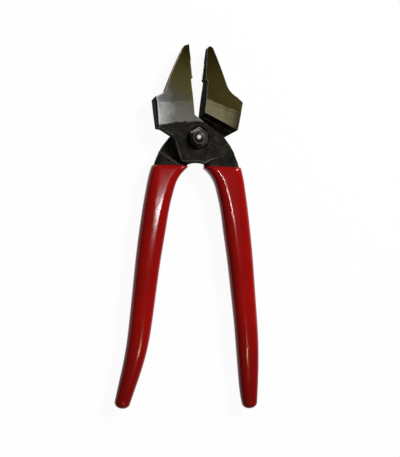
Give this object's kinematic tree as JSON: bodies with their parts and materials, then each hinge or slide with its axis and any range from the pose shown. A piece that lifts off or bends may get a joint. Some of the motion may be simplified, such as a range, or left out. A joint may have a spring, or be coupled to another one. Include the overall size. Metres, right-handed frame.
{
  "type": "grozing pliers",
  "caption": "Flat-jawed glass grozing pliers with a lap joint, a bolted pivot with a lock nut, and dip-coated handles.",
  "frame": {"origin": "pivot axis, on the tool's back face, which is also the flush flat head of the pivot bolt", "axes": "+Y along the tool towards the jaws, +Z along the pivot axis from the back face towards the nut, +X to the right as seen from the nut's side"},
  "size_m": [0.0831, 0.2084, 0.017],
  "materials": {
    "lever_steel": "forged black scale, ground bright on the jaws",
    "grip_coating": "glossy dipped soft vinyl",
    "bolt_steel": "turned bright steel",
    "fastener_steel": "blackened steel, worn bright at the edges",
    "insert_plastic": "dark moulded nylon"
  },
  "bodies": {
    "rear": {"rear_lever": "lever_steel", "left_grip": "grip_coating", "pivot_bolt": "bolt_steel", "washer": "fastener_steel", "lock_nut": "fastener_steel", "nut_insert": "insert_plastic"},
    "front": {"front_lever": "lever_steel", "right_grip": "grip_coating"}
  },
  "joints": [
    {"name": "pivot", "type": "hinge", "parent": "rear", "child": "front", "pos_m": [0, 0, 0], "axis": [0, 0, 1], "range_deg": [-11.4, 27]}
  ]
}
